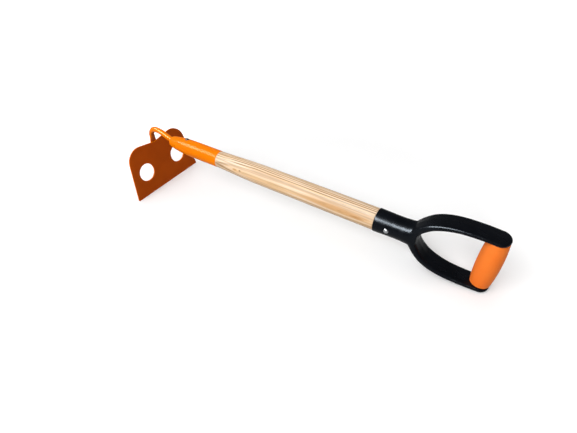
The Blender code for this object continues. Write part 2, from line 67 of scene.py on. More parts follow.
# Steel socket and the domed weld at its narrow end
SOCKET_WALL = 0.0014
SOCKET_PROFILE = ((-0.002, 0.0158), (-0.030, 0.0162), (-0.070, 0.0161), (-0.088, 0.0155), (-0.100, 0.0146),
                  (-0.112, 0.0131), (-0.1200, 0.0118))
SOCKET_STEPS = 6
LIP_STEPS = 8
NOSE_TIP = -0.1285
NOSE_STEPS = 16
NOSE_PLUG = 0.001
NOSE_CLEARANCE = 0.0001

# Neck
ROD_RADIUS = 0.0055
NECK_ROD = ((-0.099, 0.0002), (-0.126, 0.0020), (-0.152, 0.0106), (-0.167, 0.0131), (-0.179, 0.0103))
NECK_LEG = ((-0.1866, 0.0010, 0.0056, 0.0049), (-0.1875, -0.0060, 0.0058, 0.0043),
            (-0.1876, -0.0110, 0.0064, 0.0033), (-0.1880, -0.0160, 0.0072, 0.0021))
NECK_SIDES = 40
NECK_STEPS = 12
TANG_HALF_WIDTH = 0.0078
TANG_MIDDLE_HALF_WIDTH = 0.0078
TANG_END_HALF_WIDTH = 0.0062
TANG_HALF_THICKNESS = 0.0017
TANG_TOP = 0.048
TANG_BOTTOM = 0.022
SECTION_SQUARENESS = 2.2
FLATNESS_POWER = 3
WELD_RADIUS = 0.0016
WELD_TOP = TANG_TOP - 0.003
WELD_BOTTOM = TANG_TOP - 0.018
WELD_STATIONS = 60
WELD_SIDES = 20
WELD_END_POWER = 6
WELD_LEAST_RADIUS = 0.0002
RIPPLE_LENGTH = 0.0016
RIPPLE_DEPTH = 0.10

# Blade
BLADE_THICKNESS = 0.0024
BLADE_TILT = math.radians(10.8)
BLADE_HOLES_AT = (-0.1751, -0.0688)
HOLE_RADIUS = 0.0187
HOLE_SPACING = 0.0895
HOLE_STEPS = 96
EDGE_HALF_WIDTH = 0.0883
EDGE_DROP = 0.0472
EDGE_CORNER_RADIUS = 0.0016
LOBE_RADIUS = 0.0319
LOBE_HEIGHT = 0.0258
CLEFT_HEIGHT = 0.0505
ARC_STEP = math.radians(2.5)
CORNER_ARC_STEP = math.radians(15)
PLATE_EDGE_ROUND = 0.0003
PLATE_EDGE_STEPS = 3
PLATE_EDGE_ANGLE = math.radians(50)
PLATE_MERGE_DISTANCE = 0.00001
EDGE_FACE_SLOPE = 0.5

# D-handle yoke
YOKE_MOUTH = SHAFT_END
YOKE_RIM_RADIUS = 0.0196
YOKE_SOCKET_RADIUS = 0.0187
YOKE_RIM_LENGTH = 0.002
YOKE_RIM_EASE = 0.026
YOKE_RIM_CHAMFER = 0.0006
YOKE_SOCKET_END = 0.3720
YOKE_DOME = 0.0060
YOKE_BORE_DEPTH = 0.0535
GRIP_AT = 0.4910
ARM_END = 0.0146
ARM_HALF_DEPTH = 0.0170
ARM_ROOT_HALF_DEPTH = 0.0162
ARM_CROWN = 0.0008
# Stations along the upper arm: outer X and Z, inner X and Z, half depth, edge round
ARM_STATIONS = ((0.491, 0.0506, 0.491, 0.0432, ARM_HALF_DEPTH, 0.0032),
                (0.467, 0.0518, 0.468, 0.0434, 0.0172, 0.0034),
                (0.440, 0.0508, 0.444, 0.0419, 0.0174, 0.0036),
                (0.418, 0.0464, 0.425, 0.0374, 0.0178, 0.0040),
                (0.400, 0.0382, 0.410, 0.0307, 0.0180, 0.0046),
                (0.3875, 0.0280, 0.400, 0.0220, 0.0174, 0.0052),
                (0.3785, 0.0180, 0.3935, 0.0135, ARM_ROOT_HALF_DEPTH, 0.0056),
                (0.3730, 0.0085, 0.3900, 0.0062, ARM_ROOT_HALF_DEPTH, 0.0058),
                (0.3710, 0.0, 0.3890, 0.0, ARM_ROOT_HALF_DEPTH, 0.0058))
# Stations along the neck, where the round socket opens out into the arms:
# X, half height, half depth, edge round
NECK_STATIONS = ((0.3590, 0.0176, 0.0176, 0.0176), (0.3670, 0.0189, 0.0187, 0.0184),
                 (0.3740, 0.0188, 0.0183, 0.0165), (0.3785, 0.0195, 0.0178, 0.0150),
                 (0.3825, 0.0213, 0.0172, 0.0125), (0.3860, 0.0240, 0.0168, 0.0100),
                 (0.3885, 0.0262, 0.0165, 0.0080))
ARM_STEPS = 10
END_STEPS = 14
CORNER_STEPS = 6
END_ANGLE = math.radians(84)
END_TRIM = 0.0012
END_TRIM_POWER = 3
FULLEST_ROUND = 0.97
NECK_CORNER_STEPS = 16
CROSSBAR_RADIUS = 0.009
CROSSBAR_BURY = 0.004
YOKE_VOXEL = 0.0005
YOKE_SOFTENING = 0.5
YOKE_SOFTENING_PASSES = 24
CUTTER_REACH = 0.002

# Grip sleeve
GRIP_HALF_LENGTH = 0.0430 - GAP
GRIP_RADIUS = 0.0171
GRIP_END_RADIUS = 0.0148
GRIP_EDGE_ROUND = 0.0012
GRIP_STATIONS = 40
GRIP_SWELL_POWER = 2.2
GRIP_ROUND_STEPS = 6

# Rivets
SOCKET_RIVET_AT = -0.086
SOCKET_RIVET_TURN = math.radians(-9)
YOKE_RIVET_AT = 0.3420
YOKE_RIVET_TURN = math.radians(90)
RIVET_SHANK = 0.0025
RIVET_HEAD = 0.0042
RIVET_DOME = 0.0024
RIVET_SEAT = 0.0006
RIVET_STEPS = 48
DOME_STEPS = 12

# Looks. A tint or a sheen is a noise (scale, detail and at times roughness) and the span of it that is used;
# a relief is a noise's scale and detail with a bump's strength and distance; colours are linear
WHITE = (1.0, 1.0, 1.0)
TINT_SPAN = (0.35, 0.65)
SHEEN_SPAN = (0.3, 0.7)

# Paint, light and dark; the neck's painted shade is the direction of its shaded side, away from the key lamp,
# and the colour painted there
ORANGE = ((0.96, 0.226, 0.001), (0.93, 0.210, 0.001))
# Deeper orange, light and dark: a painted shade on the blade's faces, which turn away from the lamps
SHADED_ORANGE = ((0.54, 0.086, 0.0045), (0.49, 0.075, 0.004))
NECK_SHADED_SIDE = ((0.85, 0.10, -0.50), (0.40, 0.070, 0.004))
SHADED_SIDE_SPAN = (0.30, 0.75)
PAINT_TINT = ((22.0, 3.0, 0.55), (0.36, 0.62))
PAINT_SHEEN = ((60.0, 2.0), SHEEN_SPAN)
PAINT_ROUGHNESS_CHANGE = (-0.03, 0.05)
PAINT_PEEL = ((1300.0, 2.0, 0.05, 0.0002), (160.0, 1.0, 0.04, 0.0006))
PAINT_GLINT = (1.0, 0.80, 0.40)

# Black plastic
BLACKS = ((0.0015, 0.0020, 0.0034), (0.0030, 0.0038, 0.0060))
PLASTIC_TINT = ((30.0, 2.0), TINT_SPAN)
PLASTIC_SHEEN = ((90.0, 3.0), SHEEN_SPAN)
PLASTIC_ROUGHNESS = (0.22, 0.30)
PLASTIC_RELIEF = ((1500.0, 2.0, 0.03, 0.0002), (55.0, 1.0, 0.06, 0.0010))
PLASTIC_SPECULAR = 0.20
PLASTIC_GLINT = (0.80, 0.90, 1.0)

# Soft orange grip
GRIP_ORANGES = ((1.0, 0.203, 0.023), (1.0, 0.226, 0.029))
GRIP_TINT = ((35.0, 3.0), TINT_SPAN)
GRIP_SHEEN = ((150.0, 2.0), SHEEN_SPAN)
GRIP_ROUGHNESS = (0.42, 0.52)
GRIP_RELIEF = ((1100.0, 2.0, 0.15, 0.0002),)
GRIP_SPECULAR = 0.10

# Rivet steel
STEEL_TINT = ((400.0, 3.0), TINT_SPAN)
STEEL_SHEEN = ((700.0, 2.0), SHEEN_SPAN)
STEEL_ROUGHNESS_CHANGE = (-0.06, 0.08)
STEEL_WEAR = ((1600.0, 2.0, 0.15, 0.0002),)
STEEL_SPECULAR = 0.5

# Ash. Scales of the noises run along the shaft, across it and upwards; lengths and distances are in metres
PITH = (-0.052, 0.0115)
RING_SPACING = 0.0029
RING_DRIFT = 0.0050
RING_DRIFT_SCALE = (5.0, 30.0, 30.0)
RING_STOPS = ((0.0, (0.30, 0.160, 0.080)), (0.22, (0.42, 0.230, 0.110)), (0.42, (0.87, 0.61, 0.37)),
              (0.85, (0.95, 0.73, 0.49)), (1.0, (0.42, 0.230, 0.110)))
FLAT_GRAIN_STOPS = ((0.0, (0.78, 0.50, 0.26)), (0.3, (0.84, 0.55, 0.30)), (0.85, (0.87, 0.59, 0.33)),
                    (1.0, (0.80, 0.52, 0.27)))
FLAT_GRAIN_SPAN = (0.80, 0.97)
SWAY = 0.34
SWAY_SCALE = (14.0, 0.0, 0.0)
# Pale streaks: angle and width in degrees, and strength; angles run from the top towards the right-hand side.
# The one at 23 degrees is pale grain; those at 42 and 57 lie where the lamps' highlight falls and are partly
# pale grain, partly painted sheen
PALE_STREAKS_AND_SHEEN = ((23, 4.0, 0.3), (42, 6.0, 0.6), (57, 16.0, 0.4))
PALE_WOOD_AND_SHEEN = (0.81, 0.65, 0.51)
STREAK_SPAN = (0.35, 1.0)
# Fibre lines a millimetre or two wide and a hand's width long, darker and paler: the noise's span, the
# strength at either end of it, and the colour
FIBRE_SCALE = (7.0, 330.0, 330.0)
FIBRES = (((0.50, 0.64), 0.0, 0.75, (0.60, 0.40, 0.25)), ((0.36, 0.48), 0.55, 0.0, (0.93, 0.80, 0.66)))
# Darker marks, two of them pin knots: X, angle, half length, half width in degrees, colour
WOOD_MARKS = ((0.250, 76, 0.075, 20, (0.74, 0.42, 0.19)), (0.046, 76, 0.0060, 8, (0.62, 0.31, 0.09)),
              (0.058, 73, 0.0028, 6, (0.28, 0.12, 0.035)), (0.292, 80, 0.014, 8, (0.62, 0.32, 0.13)))
MARK_SPAN = (0.15, 1.0)
MARK_STRENGTH = 0.75
PORE_SCALE = (60.0, 1300.0, 1300.0)
PORE_ROUGHNESS = 0.6
PORE_SPAN = (0.52, 0.66)
PORE_STRENGTH = 0.5
PORE_COLOUR = (0.38, 0.18, 0.06)
PORE_BUMP = (0.25, 0.0003)
EARLY_WOOD_STOPS = ((0.0, 1.0), (0.30, 0.12), (0.9, 0.05), (1.0, 1.0))
WOOD_ROUGHNESS = (0.30, 0.42)
WOOD_SPECULAR = 0.03

# Camera: its place and its axes in the shaft frame, and its focal length in the photograph's pixels, whose
# positions are taken at their centres
CAMERA_AT = (0.4528, -0.4786, 0.4244)
CAMERA_RIGHT = (0.8464, 0.5326, 0.0041)
CAMERA_DOWN = (0.3550, -0.5585, -0.7497)
CAMERA_FORWARD = (-0.3970, 0.6360, -0.6618)
FOCAL_PIXELS = 399.8
PHOTO_WIDTH = 577
HALF_PIXEL = 0.5
SENSOR_WIDTH = 36.0
CLIP_START = 0.01
CLIP_END = 50.0

# Light, in the shaft frame: a strip for the colours, and a strip before it that only gloss shows
HOE_MIDDLE = (0.15, 0.0, 0.0)
KEY_START = (-0.90, -0.92, 1.30)
KEY_END = (1.15, -1.70, 1.12)
KEY_WIDTH = 0.8
KEY_RADIANCE = 4.35
GLOSS_START = (-1.55, -0.434, 1.121)
GLOSS_END = (0.21, -1.27, 1.00)
GLOSS_WIDTH = 0.6
GLOSS_RADIANCE = 40.0
# The room's own light: from behind the blade, from either side and from beyond the D-handle; then the ceiling
# in gloss, and how far up it takes over from the floor's brightness
AMBIENT = (0.93, 0.80, 0.17)
CEILING = 0.10
CEILING_SPAN = (0.02, 0.30)
# The floor: its colour as seen and for bounced light; then, near the hoe and far from it, how much the camera
# sees it lifted to white and how bright gloss sees it, each over a span of distances from the origin
FLOOR_HALF_SIZE = 8.0
FLOOR_SEEN = (0.95, 0.95, 0.95, 1)
FLOOR_BOUNCE = (0.36, 0.36, 0.36, 1)
LIFT = (0.06, 0.5)
LIFT_SPAN = (0.35, 0.7)
TABLE = 0.45
TABLE_FAR = 0.15
TABLE_SPAN = (0.4, 1.0)


def shaft_frame():
    """The shaft frame's place in the row frame, from the mount on the blade's handle side."""
    mount = next(m for m in frame["record"]["mounts"] if m["name"] == "blade_face")
    pitch = BLADE_TILT - math.asin(mount["axis"][2])
    turn = Matrix.Rotation(pitch, 4, "Y")
    out = Vector((math.cos(BLADE_TILT), 0, math.sin(BLADE_TILT))) * BLADE_THICKNESS / 2
    on_plate = Vector((BLADE_HOLES_AT[0], 0, BLADE_HOLES_AT[1])) + out
    return Matrix.Translation(Vector(mount["pos_m"]) - turn.to_3x3() @ on_plate) @ turn


SHAFT = shaft_frame()


# Node helpers

def new_material(name):
    material = bpy.data.materials.new(name)
    material.use_nodes = True
    tree = material.node_tree
    return material, tree, tree.nodes["Principled BSDF"]


def add_node(tree, kind, **values):
    """A node with its input sockets and properties set by name."""
    node = tree.nodes.new(kind)
    for key, value in values.items():
        socket = node.inputs.get(key.replace("_", " ")) if key[0].isupper() else None
        if socket is not None:
            socket.default_value = value
        else:
            setattr(node, key, value)
    return node


def feed(tree, value, socket):
    """Links an output to an input socket, or sets the input to a number or an RGB colour."""
    if isinstance(value, bpy.types.NodeSocket):
        tree.links.new(value, socket)
    else:
        socket.default_value = (*value, 1.0) if isinstance(value, tuple) else value


def object_space(tree, scale=(1, 1, 1)):
    """Object coordinates in metres, scaled along each axis."""
    coords = tree.nodes.new("ShaderNodeTexCoord")
    mapping = add_node(tree, "ShaderNodeMapping", Scale=scale)
    tree.links.new(coords.outputs["Object"], mapping.inputs["Vector"])
    return mapping.outputs["Vector"]


def noise(tree, vector, scale, detail, roughness=0.5):
    node = add_node(tree, "ShaderNodeTexNoise", Scale=scale, Detail=detail, Roughness=roughness)
    tree.links.new(vector, node.inputs["Vector"])
    return node.outputs["Fac"]


def grain_noise(tree, scale, roughness=0.5):
    """A noise with its own scale along the shaft, across it and upwards."""
    return noise(tree, object_space(tree, scale), scale=1.0, detail=2.0, roughness=roughness)


def ramp(tree, factor, stops):
    """A colour ramp; stops are pairs of a position and a colour or a grey level."""
    node = tree.nodes.new("ShaderNodeValToRGB")
    while len(node.color_ramp.elements) < len(stops):
        node.color_ramp.elements.new(0.5)
    for element, (position, colour) in zip(node.color_ramp.elements, stops):
        element.position = position
        element.color = (*colour, 1.0) if isinstance(colour, tuple) else (colour, colour, colour, 1.0)
    tree.links.new(factor, node.inputs["Fac"])
    return node.outputs["Color"]


def between(tree, factor, span, first, last):
    """A ramp from the first colour or grey level to the last, over a span of the factor."""
    return ramp(tree, factor, ((span[0], first), (span[1], last)))


def mix_colour(tree, factor, first, second):
    """Mixes two colours; each of the three inputs is a socket or a plain value."""
    node = add_node(tree, "ShaderNodeMix", data_type="RGBA")
    colour_inputs = [s for s in node.inputs if s.type == "RGBA"]
    feed(tree, factor, node.inputs["Factor"])
    feed(tree, first, colour_inputs[0])
    feed(tree, second, colour_inputs[1])
    return next(s for s in node.outputs if s.type == "RGBA")


def maths(tree, operation, *values):
    node = add_node(tree, "ShaderNodeMath", operation=operation)
    for socket, value in zip(node.inputs, values):
        feed(tree, value, socket)
    return node.outputs["Value"]


def dot(tree, first, second):
    """The sum of the products of two pairs."""
    return maths(tree, "ADD", *(maths(tree, "MULTIPLY", a, b) for a, b in zip(first, second)))


def centred(tree, factor, width):
    """A factor of 0 to 1 made into a value of the given width about zero."""
    return maths(tree, "MULTIPLY_ADD", factor, width, -width / 2)


def bump(tree, height, strength, distance, normal=None):
    node = add_node(tree, "ShaderNodeBump", Strength=strength, Distance=distance)
    tree.links.new(height, node.inputs["Height"])
    if normal is not None:
        tree.links.new(normal, node.inputs["Normal"])
    return node.outputs["Normal"]


# Materials

def noise_material(name, tint, colours, sheen, roughness, reliefs, specular, glint=WHITE):
    """A material made of noises.

    The tint runs between two colours and the sheen between two values of roughness. Each relief is a noise's
    scale and detail with a bump's strength and distance. The glint is the tint of the highlights.
    """
    material, tree, shader = new_material(name)
    space = object_space(tree)
    for (cloud, span), ends, socket in ((tint, colours, "Base Color"), (sheen, roughness, "Roughness")):
        tree.links.new(between(tree, noise(tree, space, *cloud), span, *ends), shader.inputs[socket])
    normal = None
    for scale, detail, strength, distance in reliefs:
        normal = bump(tree, noise(tree, space, scale, detail), strength, distance, normal)
    tree.links.new(normal, shader.inputs["Normal"])
    shader.inputs["Specular IOR Level"].default_value = specular
    shader.inputs["Specular Tint"].default_value = (*glint, 1.0)
    return material


def paint_material(name, light, dark, roughness, specular, shaded_side=None):
    """Sprayed gloss paint with a faint orange peel and slow changes of depth.

    The shaded side is a direction away from the key lamp and a darker colour, a painted shade on the faces
    that turn that way.
    """
    wear = [roughness + change for change in PAINT_ROUGHNESS_CHANGE]
    material = noise_material(name, PAINT_TINT, (dark, light), PAINT_SHEEN, wear, PAINT_PEEL, specular,
                              PAINT_GLINT)
    if shaded_side:
        # Painted shade: faces turned towards the shaded side take the darker colour
        direction, deep = shaded_side
        tree = material.node_tree
        facing = add_node(tree, "ShaderNodeVectorMath", operation="DOT_PRODUCT")
        facing.inputs[1].default_value = Vector(direction).normalized()
        tree.links.new(tree.nodes.new("ShaderNodeTexCoord").outputs["Normal"], facing.inputs[0])
        shading = between(tree, facing.outputs["Value"], SHADED_SIDE_SPAN, 0.0, 1.0)
        base = tree.nodes["Principled BSDF"].inputs["Base Color"]
        tree.links.new(mix_colour(tree, shading, base.links[0].from_socket, deep), base)
    return material


def steel_material(name, light, dark, roughness):
    """Turned rivet steel with fine wear."""
    wear = [roughness + change for change in STEEL_ROUGHNESS_CHANGE]
    material = noise_material(name, STEEL_TINT, (dark, light), STEEL_SHEEN, wear, STEEL_WEAR, STEEL_SPECULAR)
    material.node_tree.nodes["Principled BSDF"].inputs["Metallic"].default_value = 1.0
    return material


def ash_material():
    """Varnished ash: rings about a pith beside the shaft, pale streaks that are partly painted sheen, fibre
    lines, dark marks and pores.
    """
    material, tree, shader = new_material("ash_wood_grain")
    parts = tree.nodes.new("ShaderNodeSeparateXYZ")
    tree.links.new(object_space(tree), parts.inputs["Vector"])
    along, across, up = parts.outputs
    # Slow waves make the rings drift along the shaft, so they close into arches where they lie flat
    to_pith = (maths(tree, "ADD", across, PITH[0]), maths(tree, "ADD", up, PITH[1]))
    distance = maths(tree, "SQRT", dot(tree, to_pith, to_pith))
    drifted = maths(tree, "ADD", distance, centred(tree, grain_noise(tree, RING_DRIFT_SCALE), RING_DRIFT))
    phase = maths(tree, "FRACT", maths(tree, "DIVIDE", drifted, RING_SPACING))
    # Where the surface lies along the rings their lines are broad and faint
    out_of_rings = maths(tree, "DIVIDE", dot(tree, to_pith, (across, up)),
                         maths(tree, "MULTIPLY", distance, SHAFT_RADIUS))
    lies_flat = between(tree, maths(tree, "ABSOLUTE", out_of_rings), FLAT_GRAIN_SPAN, 0.0, 1.0)
    wood = mix_colour(tree, lies_flat, ramp(tree, phase, RING_STOPS), ramp(tree, phase, FLAT_GRAIN_STOPS))
    # The angle round the shaft from its top, with a slow sway
    roll = maths(tree, "ARCTAN2", maths(tree, "MULTIPLY", across, -1.0), up)
    roll = maths(tree, "ADD", roll, centred(tree, grain_noise(tree, SWAY_SCALE), SWAY))
    # Pale streaks at set angles round the shaft: pale grain, and near the lamps' highlight a painted sheen
    for angle, width, strength in PALE_STREAKS_AND_SHEEN:
        off = maths(tree, "ABSOLUTE", maths(tree, "SUBTRACT", roll, math.radians(angle)))
        near = between(tree, maths(tree, "DIVIDE", off, math.radians(width)), STREAK_SPAN, strength, 0.0)
        wood = mix_colour(tree, near, wood, PALE_WOOD_AND_SHEEN)
    fibre = grain_noise(tree, FIBRE_SCALE)
    for span, first, last, colour in FIBRES:
        wood = mix_colour(tree, between(tree, fibre, span, first, last), wood, colour)
    for x, angle, length, width, colour in WOOD_MARKS:
        off = (maths(tree, "DIVIDE", maths(tree, "SUBTRACT", along, x), length),
               maths(tree, "DIVIDE", maths(tree, "SUBTRACT", roll, math.radians(angle)), math.radians(width)))
        near = between(tree, dot(tree, off, off), MARK_SPAN, MARK_STRENGTH, 0.0)
        wood = mix_colour(tree, near, wood, colour)
    pores = grain_noise(tree, PORE_SCALE, PORE_ROUGHNESS)
    # Pores lie mostly in the early wood of each ring
    early = ramp(tree, phase, EARLY_WOOD_STOPS)
    open_pores = maths(tree, "MULTIPLY", early, between(tree, pores, PORE_SPAN, 0.0, 1.0))
    open_pores = maths(tree, "MULTIPLY", open_pores, PORE_STRENGTH)
    tree.links.new(mix_colour(tree, open_pores, wood, PORE_COLOUR), shader.inputs["Base Color"])
    depth = maths(tree, "MULTIPLY", open_pores, -1.0)
    tree.links.new(bump(tree, depth, *PORE_BUMP), shader.inputs["Normal"])
    tree.links.new(between(tree, pores, SHEEN_SPAN, *WOOD_ROUGHNESS), shader.inputs["Roughness"])
    shader.inputs["Specular IOR Level"].default_value = WOOD_SPECULAR
    return material


PAINT = paint_material("orange_paint_gloss", *ORANGE, roughness=0.21, specular=0.065)
# The neck's side turned away from the key lamp carries a painted shade
NECK_PAINT = paint_material("orange_paint_neck", *ORANGE, roughness=0.17, specular=0.30,
                            shaded_side=NECK_SHADED_SIDE)
# The blade's faces: the same orange paint, set deeper as a painted shade
BLADE_SHADED_PAINT = paint_material("orange_paint_blade_painted_shade", *SHADED_ORANGE, roughness=0.32, specular=0.07)
ASH = ash_material()
PLASTIC = noise_material("black_plastic_gloss", PLASTIC_TINT, BLACKS, PLASTIC_SHEEN, PLASTIC_ROUGHNESS,
                         PLASTIC_RELIEF, PLASTIC_SPECULAR, PLASTIC_GLINT)
GRIP = noise_material("orange_grip_soft", GRIP_TINT, GRIP_ORANGES, GRIP_SHEEN, GRIP_ROUGHNESS, GRIP_RELIEF,
                      GRIP_SPECULAR)
STEEL = steel_material("rivet_steel", light=(0.62, 0.64, 0.66), dark=(0.48, 0.50, 0.52), roughness=0.30)
DULL_STEEL = steel_material("rivet_steel_dull", light=(0.13, 0.085, 0.07), dark=(0.07, 0.045, 0.035),
                            roughness=0.46)


# Mesh helpers

def smooth_path(knots, steps):
    """Points along a Catmull-Rom curve through the knots; each knot is a tuple of equal length."""
    padded = [knots[0]] + list(knots) + [knots[-1]]
    path = []
    for i in range(1, len(padded) - 2):
        before, start, end, after = (Vector(padded[i + k]) for k in (-1, 0, 1, 2))
        for step in range(steps):
            t = step / steps
            point = 0.5 * (2 * start + (end - before) * t
                           + (2 * before - 5 * start + 4 * end - after) * t * t
                           + (3 * start - before - 3 * end + after) * t ** 3)
            path.append(tuple(point))
    path.append(tuple(knots[-1]))
    return path


def merge_points(mesh, distance):
    """Merges doubled points, turns the faces outwards and shades them smooth."""
    work = bmesh.new()
    work.from_mesh(mesh)
    bmesh.ops.remove_doubles(work, verts=work.verts, dist=distance)
    bmesh.ops.recalc_face_normals(work, faces=work.faces)
    work.to_mesh(mesh)
    work.free()
    mesh.shade_smooth()


def loft(name, rings, closed=False):
    """A skin over rings of equal length, capped at both ends unless it closes on itself."""
    size = len(rings[0])
    verts = [point for ring in rings for point in ring]
    count = len(rings)
    faces = []
    for r in range(count if closed else count - 1):
        for i in range(size):
            j = (i + 1) % size
            nxt = (r + 1) % count
            faces.append((r * size + i, r * size + j, nxt * size + j, nxt * size + i))
    if not closed:
        faces.append(tuple(reversed(range(size))))
        faces.append(tuple(range(len(verts) - size, len(verts))))
    mesh = bpy.data.meshes.new(name)
    mesh.from_pydata(verts, [], faces)
    merge_points(mesh, MERGE_DISTANCE)
    mesh.set_sharp_from_angle(angle=CREASE_ANGLE)
    return mesh


def lathe(name, profile, closed=False, steps=TURN_STEPS):
    """A profile of (height, radius) points turned about the X axis of the shaft frame."""
    rings = []
    for height, radius in profile:
        ring = []
        for i in range(steps):
            angle = 2 * math.pi * i / steps
            ring.append((height, radius * math.cos(angle), radius * math.sin(angle)))
        rings.append(ring)
    return loft(name, rings, closed)


def add_piece(name, mesh, material, nodes, place=Matrix.Identity(4)):
    """A visible piece in the shaft frame, standing for CAD nodes and riding on the one body."""
    ob = bpy.data.objects.new(name, mesh)
    bpy.context.scene.collection.objects.link(ob)
    ob.matrix_world = SHAFT @ place
    mesh.materials.append(material)
    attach(ob, "root")
    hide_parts(*nodes)
    return ob


def helper(name, mesh):
    """A hidden shape for a Boolean."""
    ob = bpy.data.objects.new(name, mesh)
    bpy.context.scene.collection.objects.link(ob)
    ob.matrix_world = SHAFT
    ob.hide_render = True
    ob.hide_viewport = True
    ob.display_type = "WIRE"
    return ob


def boolean(ob, other, operation="DIFFERENCE"):
    modifier = ob.modifiers.new(operation.lower(), "BOOLEAN")
    modifier.operation = operation
    modifier.solver = "EXACT"
    modifier.object = other


# Shapes

def shaft_radius(x):
    t = min(max(x / SHAFT_SWELL_END, 0.0), 1.0)
    swell = math.sin(t * math.pi / 2) ** SWELL_POWER
    return SHAFT_NECK_RADIUS + (SHAFT_RADIUS - SHAFT_NECK_RADIUS) * swell


def socket_radius(x):
    for (x0, r0), (x1, r1) in zip(SOCKET_PROFILE, SOCKET_PROFILE[1:]):
        if x >= x1:
            return r0 + (r1 - r0) * (x - x0) / (x1 - x0)
    return SOCKET_PROFILE[-1][1]


def build_shaft():
    inside = SOCKET_WALL + GAP
    shoulder = YOKE_MOUTH - GAP
    mouth = SOCKET_PROFILE[0][0] + GAP
    tenon_end = shoulder + TENON_LENGTH
    profile = [(tenon_end, TENON_END_RADIUS - SHAFT_EASE), (tenon_end - SHAFT_EASE, TENON_END_RADIUS),
               (shoulder, TENON_RADIUS), (shoulder, SHAFT_RADIUS - SHAFT_EASE / 2),
               (shoulder - SHAFT_EASE, SHAFT_RADIUS)]
    for i in range(SWELL_STATIONS, -1, -1):
        x = mouth + (SHAFT_SWELL_END - mouth) * i / SWELL_STATIONS
        profile.append((x, shaft_radius(x)))
    for x, radius in SOCKET_PROFILE:
        if x > SHAFT_FRONT:
            profile.append((min(x, mouth), radius - inside))
    profile.append((SHAFT_FRONT, socket_radius(SHAFT_FRONT) - inside))
    add_piece("ash_shaft", lathe("ash_shaft", profile), ASH, ["shaft"])


def build_socket():
    outer = smooth_path(SOCKET_PROFILE, SOCKET_STEPS)
    lip = SOCKET_WALL / 2
    mouth_x, mouth_radius = outer[0]
    rounding = []
    for i in range(LIP_STEPS + 1):
        angle = math.pi * i / LIP_STEPS
        rounding.append((mouth_x - lip * (1 - math.sin(angle)), mouth_radius - lip * (1 - math.cos(angle))))
    inner = [(x, r - SOCKET_WALL) for x, r in outer[1:]]
    profile = list(reversed(outer[1:])) + rounding + inner
    add_piece("steel_socket", lathe("steel_socket", profile, closed=True), PAINT, ["socket"])


def build_nose():
    start_x, start_radius = SOCKET_PROFILE[-1]
    length = start_x - NOSE_TIP
    profile = [(start_x + NOSE_PLUG, 0.0), (start_x + NOSE_PLUG, start_radius - NOSE_PLUG),
               (start_x, start_radius - NOSE_CLEARANCE)]
    for i in range(1, NOSE_STEPS + 1):
        angle = math.pi / 2 * i / NOSE_STEPS
        radius = ROD_RADIUS - GAP + (start_radius - ROD_RADIUS) * math.cos(angle)
        profile.append((start_x - length * math.sin(angle), radius))
    profile.append((NOSE_TIP, 0.0))
    add_piece("nose_weld", lathe("nose_weld", profile), PAINT, ["socket_nose_weld"])


def blade_point(height, offset):
    """X and Z of a point at a height on the plate above its holes' centres, offset towards the handle."""
    up_x, up_z = -math.sin(BLADE_TILT), math.cos(BLADE_TILT)
    out_x, out_z = math.cos(BLADE_TILT), math.sin(BLADE_TILT)
    hole_x, hole_z = BLADE_HOLES_AT
    return (hole_x + height * up_x + offset * out_x, hole_z + height * up_z + offset * out_z)


def neck_knots():
    knots = [(x, z, ROD_RADIUS, ROD_RADIUS) for x, z in NECK_ROD]
    knots += list(NECK_LEG)
    tang = -(BLADE_THICKNESS / 2 + GAP + TANG_HALF_THICKNESS)
    middle = (TANG_TOP + TANG_BOTTOM) / 2
    for height, half_width in ((TANG_TOP, TANG_HALF_WIDTH), (middle, TANG_MIDDLE_HALF_WIDTH),
                               (TANG_BOTTOM, TANG_END_HALF_WIDTH)):
        knots.append((*blade_point(height, tang), half_width, TANG_HALF_THICKNESS))
    return knots


def neck_section(x, z, along, half_width, half_thickness):
    normal = (-along[1], along[0])
    flatness = 1 - half_thickness / half_width
    power = 2 / (2 + SECTION_SQUARENESS * flatness ** FLATNESS_POWER)
    ring = []
    for i in range(NECK_SIDES):
        angle = 2 * math.pi * i / NECK_SIDES
        c, s = math.cos(angle), math.sin(angle)
        across = half_width * math.copysign(abs(c) ** power, c)
        through = half_thickness * math.copysign(abs(s) ** power, s)
        ring.append((x + normal[0] * through, across, z + normal[1] * through))
    return ring


def build_neck():
    path = smooth_path(neck_knots(), NECK_STEPS)
    rings = []
    for i, (x, z, half_width, half_thickness) in enumerate(path):
        ahead = path[min(i + 1, len(path) - 1)]
        behind = path[max(i - 1, 0)]
        along = Vector((ahead[0] - behind[0], ahead[1] - behind[1])).normalized()
        rings.append(neck_section(x, z, along, half_width, half_thickness))
    add_piece("swan_neck", loft("swan_neck", rings), NECK_PAINT, ["neck"])


def build_welds():
    """Rippled beads down both sides of the tang, on the blade's front face."""
    in_front = -(BLADE_THICKNESS / 2 + GAP + WELD_RADIUS)
    beside = TANG_HALF_WIDTH + GAP + WELD_RADIUS
    for hand, side in (("left", -1), ("right", 1)):
        rings = []
        for k in range(WELD_STATIONS + 1):
            t = k / WELD_STATIONS
            height = WELD_TOP + (WELD_BOTTOM - WELD_TOP) * t
            ends = math.sqrt(max(0.0, 1 - (2 * t - 1) ** WELD_END_POWER))
            wave = 1 - RIPPLE_DEPTH * abs(math.sin(math.pi * (height - WELD_TOP) / RIPPLE_LENGTH))
            radius = max(WELD_RADIUS * wave * ends, WELD_LEAST_RADIUS)
            ring = []
            for i in range(WELD_SIDES):
                angle = 2 * math.pi * i / WELD_SIDES
                x, z = blade_point(height, in_front + radius * math.cos(angle))
                ring.append((x, side * beside + radius * math.sin(angle), z))
            rings.append(ring)
        bead = loft(f"weld_{hand}_bead", rings)
        add_piece(f"bead_{hand}", bead, PAINT, [f"weld_{hand}"])


